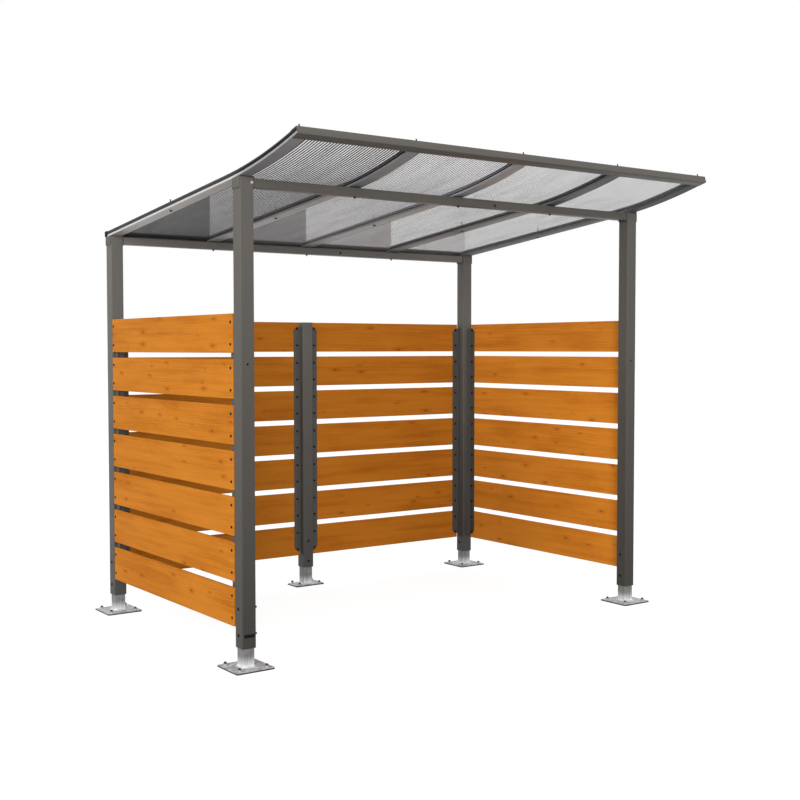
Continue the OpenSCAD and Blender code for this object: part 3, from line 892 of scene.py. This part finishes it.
coated(node(FIX, "GeometryNodeInstanceOnPoints", Points=f_in["Geometry"], Instance=f_head.outputs["Geometry"],
            Rotation=f_turn.outputs[0]), f_in["Finish"], f_out[0])


# ---------------------------------------------------------------- boards
BOARD_EASE = 2.2 * MM


def board(name, size, low, wood):
    """The lowest board of a panel, with its edges eased."""
    bm = bmesh.new()
    ease = BOARD_EASE
    along = 0 if size[0] > size[1] else 1
    length, thick = size[along], size[1 - along]
    rings = []
    for inset, s in ((ease, 0.0), (ease * 0.3, ease * 0.3), (0, ease), (0, length - ease),
                     (ease * 0.3, length - ease * 0.3), (ease, length)):
        ring = [(p.x + thick / 2, p.y + BOARD_HIGH / 2) for p in
                rounded_ring(thick - 2 * inset, BOARD_HIGH - 2 * inset, max(ease - inset * 0.5, 0.5 * MM), 3)]
        rings.append([Vector((u, s, v) if along else (s, u, v)) for u, v in ring])
    lofted(bm, rings, matrix=Matrix.Translation(low))
    return made(name, bm, wood, sharp=50)


for side in ("left", "right", "rear_left", "rear_right"):
    low, high = (Vector(c) for c in BOX["boards_" + side])
    slats = board("slats_" + side, high - low, low, WOOD[side])
    run_tree(slats, ROW, Count=BOARD_COUNT, Step=(0.0, 0.0, BOARD_PITCH), Finish=WOOD[side])
    placed(slats, "timber", "boards_" + side)


# ---------------------------------------------------------------- plain bars taken from the CAD's own solids
def eased(name, source, finish, width, segments=2):
    """A copy of a CAD node as one closed mesh, with its edges rounded."""
    bm = bmesh.new()
    bm.from_mesh(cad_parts[source].data)
    bmesh.ops.remove_doubles(bm, verts=bm.verts, dist=1e-5)
    bmesh.ops.dissolve_limit(bm, angle_limit=math.radians(0.4), verts=bm.verts, edges=bm.edges)
    obj = in_scene(name, smooth_mesh(name, bm, finish))
    round_off = obj.modifiers.new("eased edges", "BEVEL")
    round_off.width = width
    round_off.segments = segments
    round_off.limit_method = "ANGLE"
    round_off.angle_limit = math.radians(30)
    round_off.harden_normals = True
    return settle(obj)


for corner, x, y in CORNERS:
    placed(eased("folded_saddle_" + corner, "saddle_" + corner, PAINT_HIGH, 1.2 * MM, 3), "painted", "saddle_" + corner)
for which, coat in (("front", PAINT_HIGH), ("rear", PAINT_BEAM_LIT)):
    placed(eased("cross_beam_" + which, "beam_" + which, coat, 1.4 * MM, 3), "painted", "beam_" + which)
placed(eased("edge_beam", "edge_beam_front", PAINT_HIGH, 0.5 * MM), "painted", "edge_beam_front")
placed(eased("edge_channel", "edge_channel_rear", PAINT_HIGH, 0.6 * MM), "painted", "edge_channel_rear")
placed(eased("channel_plugs", "edge_channel_plugs", RUBBER, 0.5 * MM), "rubber_black", "edge_channel_plugs")

# ---------------------------------------------------------------- roof bars
STRAIGHT_STEP = 250 * MM
ARC_STEP = 22 * MM
RAFTER_FROM = 32.2 * MM
COVER_FROM = 2.2 * MM
FRONT_TO = ROOF_RUN - 1.7 * MM


def stations(start, end):
    out = [start]
    run = start
    while run < end - 1e-6:
        run += STRAIGHT_STEP if run + STRAIGHT_STEP < STRAIGHT else ARC_STEP
        out.append(min(run, end))
    return out


def roof_extrusion(bm, outline, start, end, x=0.0):
    """Draws an outline of (across, up) along the roof's line."""
    lofted(bm, [[Vector((p[0] + x, *roof_at(run, p[1]))) for p in outline] for run in stations(start, end)])


outline = closed_outline([(-HALF_RAFTER, 0), (HALF_RAFTER, 0), (HALF_RAFTER, RAFTER_H), (-HALF_RAFTER, RAFTER_H)],
                         1.2 * MM, 3)
for i, x in enumerate(RAFTER_X):
    bm = bmesh.new()
    roof_extrusion(bm, outline, RAFTER_FROM, FRONT_TO, x)
    placed(made("rafter_bar_%d" % (i + 1), bm, ALLOYS[i]), "alloy", "rafter_%d" % (i + 1))

COVER_T = 2 * MM
INSIDE = HALF_RAFTER - COVER_T
outline = closed_outline(
    [(-HALF_RAFTER, COVER_H), (-INSIDE, COVER_H), (-INSIDE, ROOF_H - COVER_T), (INSIDE, ROOF_H - COVER_T),
     (INSIDE, COVER_H), (HALF_RAFTER, COVER_H), (HALF_RAFTER, ROOF_H), (-HALF_RAFTER, ROOF_H)],
    [0.4 * MM, 0.4 * MM, 0.8 * MM, 0.8 * MM, 0.4 * MM, 0.4 * MM, 2.2 * MM, 2.2 * MM], 3)
bm = bmesh.new()
for x in RAFTER_X:
    roof_extrusion(bm, outline, COVER_FROM, FRONT_TO, x)
placed(made("cover_strips", bm, PAINT_COVER), "painted", *["cover_strip_%d" % i for i in range(1, 6)])

# Gaskets: a plain bar on each rafter, with a waist where a sheet goes in on its left and right
SHEET_EDGES = [(BOX["roof_sheet_%d" % i][0][0], BOX["roof_sheet_%d" % i][1][0]) for i in range(1, 5)]
low, high = RAFTER_H + SEAT, COVER_H - SEAT
s0, s1 = SHEET_H - SEAT, SHEET_H + SHEET_T + SEAT
bm = bmesh.new()
for i, x in enumerate(RAFTER_X):
    left, right = x - HALF_RAFTER, x + HALF_RAFTER
    corners = [(left, low), (right, low)]
    if i < 4:
        waist = SHEET_EDGES[i][0] - SEAT
        corners += [(right, s0), (waist, s0), (waist, s1), (right, s1)]
    corners += [(right, high), (left, high)]
    if i > 0:
        waist = SHEET_EDGES[i - 1][1] + SEAT
        corners += [(left, s1), (waist, s1), (waist, s0), (left, s0)]
    roof_extrusion(bm, closed_outline(corners, 0.35 * MM, 2), RAFTER_FROM, FRONT_TO)
placed(made("gasket_runs", bm, GASKET_RUBBER), "rubber_black", "gaskets")

# ---------------------------------------------------------------- twin-wall sheets
SKIN_T = 0.7 * MM
RIB_PITCH = 16 * MM
RIB_FOOT = SHEET_H + SKIN_T + 0.05 * MM

# Two skins, and between them one web that is repeated across the sheet
for i, ((x0, x1), bay) in enumerate(zip(SHEET_EDGES, BAYS), 1):
    line, skin_levels, skin_cover, rib_levels, rib_cover, rib_high, rib_t = bay
    skin = clear_sheet("clear sheet skin %d" % i, line, sheet_tones(skin_levels), skin_cover, 0.2, 0.06)
    web = clear_sheet("clear sheet rib %d" % i, line, sheet_tones(rib_levels), rib_cover, 0.45, 0.0)
    bm = bmesh.new()
    for up in (SHEET_H, SHEET_H + SHEET_T - SKIN_T):
        roof_extrusion(bm, [(x0, up), (x1, up), (x1, up + SKIN_T), (x0, up + SKIN_T)], COVER_FROM, FRONT_TO)
    skins = made("sheet_skins_%d" % i, bm, skin, weighted=False)
    bm = bmesh.new()
    count = int((x1 - x0) / RIB_PITCH) + 1
    margin = ((x1 - x0) - (count - 1) * RIB_PITCH) / 2
    half, top = rib_t / 2, RIB_FOOT + rib_high
    roof_extrusion(bm, [(-half, RIB_FOOT), (half, RIB_FOOT), (half, top), (-half, top)],
                   COVER_FROM + 2 * MM, FRONT_TO - 2 * MM, x0 + max(margin, rib_t))
    rib = made("sheet_ribs_%d" % i, bm, web, weighted=False)
    run_tree(rib, ROW, Count=count, Step=(RIB_PITCH, 0.0, 0.0), Finish=web)
    placed(skins, "clear_sheet", "roof_sheet_%d" % i)
    placed(rib, "clear_sheet", "roof_sheet_%d" % i)


# ---------------------------------------------------------------- fasteners
# A head is made of shapes turned about Z. Each is a list of (radius, height) pairs and a count of sides.
def dome(radius, high):
    rim = 0.4 * MM
    turns = [k / 6 * math.pi / 2 for k in range(1, 6)]
    return [([(radius * 0.985, -0.8 * MM), (radius, rim)]
             + [(radius * math.cos(a), rim + (high - rim) * math.sin(a)) for a in turns]
             + [(radius * 0.08, high)], 20)]


def nut_and_end(across, high, washer, thread, out):
    """A washer, a hexagonal nut on it, and the threaded end of the bolt."""
    wide, chamfer = across / math.sqrt(3), across * 0.07
    foot = 1.3 * MM
    top = foot + high
    turns = int(out / (0.7 * MM))
    ridges = [(thread / 2 * (0.9 if k % 2 else 1.0), top - 0.5 * MM + out * k / turns) for k in range(turns + 1)]
    return [([(washer, -0.6 * MM), (washer, 1.2 * MM), (washer - 0.3 * MM, 1.5 * MM)], 28),
            ([(wide, foot), (wide, top - chamfer), (wide - chamfer, top)], 6),
            (ridges + [(thread / 2 * 0.8, top + out)], 16)]


def cone_nut(washer, wide, narrow, long):
    return [([(washer, -0.6 * MM), (washer, 1.4 * MM), (wide, 1.6 * MM), (narrow, long - 1 * MM),
              (narrow - 1 * MM, long)], 20)]


def pin(radius, out):
    return [([(radius, -1 * MM), (radius, out - 0.8 * MM), (radius - 0.8 * MM, out)], 14)]


def head(name, shapes):
    bm = bmesh.new()
    for profile, sides in shapes:
        lofted(bm, [circle(radius, z, sides) for radius, z in profile])
    return made("head_" + name, bm, BLACK_STEEL, sharp=40, weighted=False)


HEADS = {name: head(name, shapes) for name, shapes in (
    ("coach", dome(7.2 * MM, 4.4 * MM)),
    ("small_nut", nut_and_end(10 * MM, 5 * MM, 6.2 * MM, 6 * MM, 2.5 * MM)),
    ("post_bolt", dome(8 * MM, 4.2 * MM)),
    ("post_nut", cone_nut(8 * MM, 6.4 * MM, 5.2 * MM, 24.5 * MM)),
    ("anchor", nut_and_end(14 * MM, 11 * MM, 10.5 * MM, 12 * MM, 4 * MM)),
    ("dome_screw", dome(7.0 * MM, 3.8 * MM)),
    ("under_rafter", dome(8.0 * MM, 6.0 * MM)),
    ("beam_nut", nut_and_end(10 * MM, 5 * MM, 6.5 * MM, 6 * MM, 4 * MM)),
    ("pin", pin(3.0 * MM, 16 * MM)),
    ("long_pin", pin(3.0 * MM, 27 * MM)))}


def fasteners(name, kind, points, seed, slot="painted", finish=BLACK_STEEL):
    """One fastener at each (place, axis)."""
    mesh = bpy.data.meshes.new(name)
    mesh.from_pydata([p for p, a in points], [], [])
    field = mesh.attributes.new("axis", "FLOAT_VECTOR", "POINT")
    field.data.foreach_set("vector", [c for p, a in points for c in a])
    obj = in_scene(name, mesh)
    run_tree(obj, FIX, Fastener=HEADS[kind], Finish=finish, Seed=seed)
    obj.data.materials.clear()
    obj.data.materials.append(finish)
    placed(obj, slot)


# Boards: two bolts at each end of each board, with nuts behind the angles
BOLT_FROM_POST = 61 * MM
BOLT_FROM_MIDDLE = 51 * MM
outer, inner = [], []
for z in [BOARD_FOOT + BOARD_HIGH / 2 + i * BOARD_PITCH + side * BOLT_FROM_MIDDLE
          for i in range(BOARD_COUNT) for side in (-1, 1)]:
    for wall, x in ((-1, LEFT_X), (1, RIGHT_X)):
        for y in (FRONT_Y + BOLT_FROM_POST, REAR_Y - BOLT_FROM_POST):
            outer.append(((x + wall * BOARD_FACE, y, z), (wall, 0, 0)))
            inner.append(((x + wall * (INNER - ANGLE_T), y, z), (-wall, 0, 0)))
    for x in (LEFT_X + BOLT_FROM_POST, -BOLT_FROM_POST, BOLT_FROM_POST, RIGHT_X - BOLT_FROM_POST):
        outer.append(((x, REAR_Y + BOARD_FACE, z), (0, 1, 0)))
        inner.append(((x, REAR_Y + INNER - ANGLE_T, z), (0, -1, 0)))
fasteners("board_bolts", "coach", outer, 3)
fasteners("board_nuts", "small_nut", inner, 4)

# Posts: two bolts through each post and its stub
FOOT_BOLTS = (0.152, 0.275)
FOOT_BOLT_SHIFT = 6 * MM
bolts, nuts = [], []
for z in FOOT_BOLTS:
    for y in (FRONT_Y + FOOT_BOLT_SHIFT, REAR_Y + FOOT_BOLT_SHIFT):
        for x in (LEFT_X, RIGHT_X):
            bolts.append(((x - HALF_POST, y, z), (-1, 0, 0)))
            nuts.append(((x + HALF_POST, y, z), (1, 0, 0)))
    bolts.append(((0, MID_Y - HALF_POST, z), (0, -1, 0)))
    nuts.append(((0, MID_Y + HALF_POST, z), (0, 1, 0)))
fasteners("post_bolts", "post_bolt", bolts, 5)
fasteners("post_nuts", "post_nut", nuts, 6)

anchors = [(place, (0, 0, 1)) for name, x, y, deep, pitch in FEET for place in anchor_places(x, y, pitch, PLATE_T)]
fasteners("ground_anchors", "anchor", anchors, 7, "galvanised", ANCHOR_STEEL)


def on_roof(x, run, up, way=1):
    """A place on the roof's line and the axis across it there; way is 1 upwards and -1 downwards."""
    lean = SLOPE + max(0.0, run - STRAIGHT) / SWEEP_RADIUS
    return (x, *roof_at(run, up)), (0, way * math.sin(lean), way * math.cos(lean))


# Roof: a head under each rafter and a pin over it, half-way back, and a pin near the front end
HALF_WAY = (REAR_END - (FRONT_Y + REAR_Y) / 2 - 13 * MM) / math.cos(SLOPE)
TIP = ROOF_RUN - 13 * MM
fasteners("rafter_screws", "under_rafter", [on_roof(x, HALF_WAY, 0, -1) for x in RAFTER_X], 8)
fasteners("cover_pins", "long_pin", [on_roof(x, HALF_WAY, ROOF_H) for x in RAFTER_X], 9)
fasteners("edge_pins", "pin", [on_roof(x - 10 * MM, TIP, ROOF_H + 1.7 * MM) for x in RAFTER_X], 12)

BEAM_HIGH = 40 * MM
fasteners("beam_nuts", "beam_nut", [((x, y, top - BEAM_HIGH), (0, 0, -1)) for y, top in
                                    ((FRONT_Y, FRONT_BEAM_TOP), (REAR_Y, REAR_BEAM_TOP)) for x in RAFTER_X[1:4]], 10)
HEAD_SCREW_X = 27 * MM      # from a corner post's middle, inwards
screws = [((x, y - BEAM_DEPTH / 2, z), (0, -1, 0)) for x, y, z in ((0.222, FRONT_Y, 2.210), (0.227, REAR_Y, 2.060))]
screws += [((x, REAR_Y + HALF_POST, REAR_BEAM_TOP - 21 * MM), (0, 1, 0))
           for x in (LEFT_X + HEAD_SCREW_X, RIGHT_X - HEAD_SCREW_X)]
fasteners("frame_screws", "dome_screw", screws, 11)
fasteners("post_head_screw", "dome_screw", [((LEFT_X + HEAD_SCREW_X, FRONT_Y - HALF_POST, 2.216), (0, -1, 0))], 13,
          "galvanised", BRIGHT_STEEL)
for obj in HEADS.values():
    bpy.data.objects.remove(obj)

# ---------------------------------------------------------------- floor, light and camera
FLOOR_Z = -1 * MM
FLOOR_REACH = 60
FLOOR_GLOW = 0.84


def plainly_seen(tree):
    """1 to the camera, in reflections and through clear sheets; 0 as light on other surfaces."""
    path = tree.nodes.new("ShaderNodeLightPath").outputs
    return maths("MAXIMUM", path["Is Camera Ray"],
                 maths("MAXIMUM", path["Is Glossy Ray"], path["Is Transmission Ray"]))


pale = bpy.data.materials.new("pale floor")
pale.use_nodes = True
tree = pale.node_tree
tree.nodes.clear()
seen = plainly_seen(tree)
matt = node(tree, "ShaderNodeBsdfDiffuse", Color=blend(seen, flat(0.30), flat(0.36)))
glow = node(tree, "ShaderNodeEmission", Color=flat(1.0), Strength=times(seen, FLOOR_GLOW))
both = tree.nodes.new("ShaderNodeAddShader")
join(matt.outputs[0], both.inputs[0])
join(glow.outputs[0], both.inputs[1])
node(tree, "ShaderNodeOutputMaterial", Surface=both.outputs[0])
mesh = bpy.data.meshes.new("floor")
mesh.from_pydata([(x * FLOOR_REACH, y * FLOOR_REACH, FLOOR_Z) for x, y in ((-1, -1), (1, -1), (1, 1), (-1, 1))], [],
                 [(0, 1, 2, 3)])
mesh.materials.append(pale)
in_scene("floor", mesh)

world = bpy.data.worlds.new("studio")
bpy.context.scene.world = world
world.use_nodes = True
fill(world.node_tree.nodes["Background"],
     {"Color": flat(1.0), "Strength": ramp(plainly_seen(world.node_tree), 0.0, 1.0, 0.6, 1.0, smooth=False)})


def lamp(name, place, target, power, size):
    data = bpy.data.lights.new(name, "AREA")
    data.shape = "SQUARE"
    data.size = size
    data.energy = power
    obj = in_scene(name, data)
    obj.location = place
    obj.rotation_euler = (Vector(target) - Vector(place)).to_track_quat("-Z", "Y").to_euler()


lamp("key from the left", (-13.5, -3.6, 5.0), (-0.6, 0.2, 1.2), 575, 5.0)
lamp("fill from the front", (-8.6, -16.0, 4.8), (0.2, 0.2, 1.2), 1560, 6.0)

PITCH, ROLL, YAW = (math.radians(a) for a in (90 - 2.46, 0.033, -35.72))
camera = bpy.data.cameras.new("camera")
camera.sensor_width = 36
camera.lens = 53.954
camera.clip_end = 200
view = in_scene("camera", camera)
view.location = (-3.8502, -5.37045, 1.4666)
view.rotation_euler = Euler((PITCH, ROLL, YAW), "XYZ")
bpy.context.scene.camera = view

bpy.context.scene.view_settings.view_transform = "Standard"
bpy.context.scene.cycles.transparent_max_bounces = 32
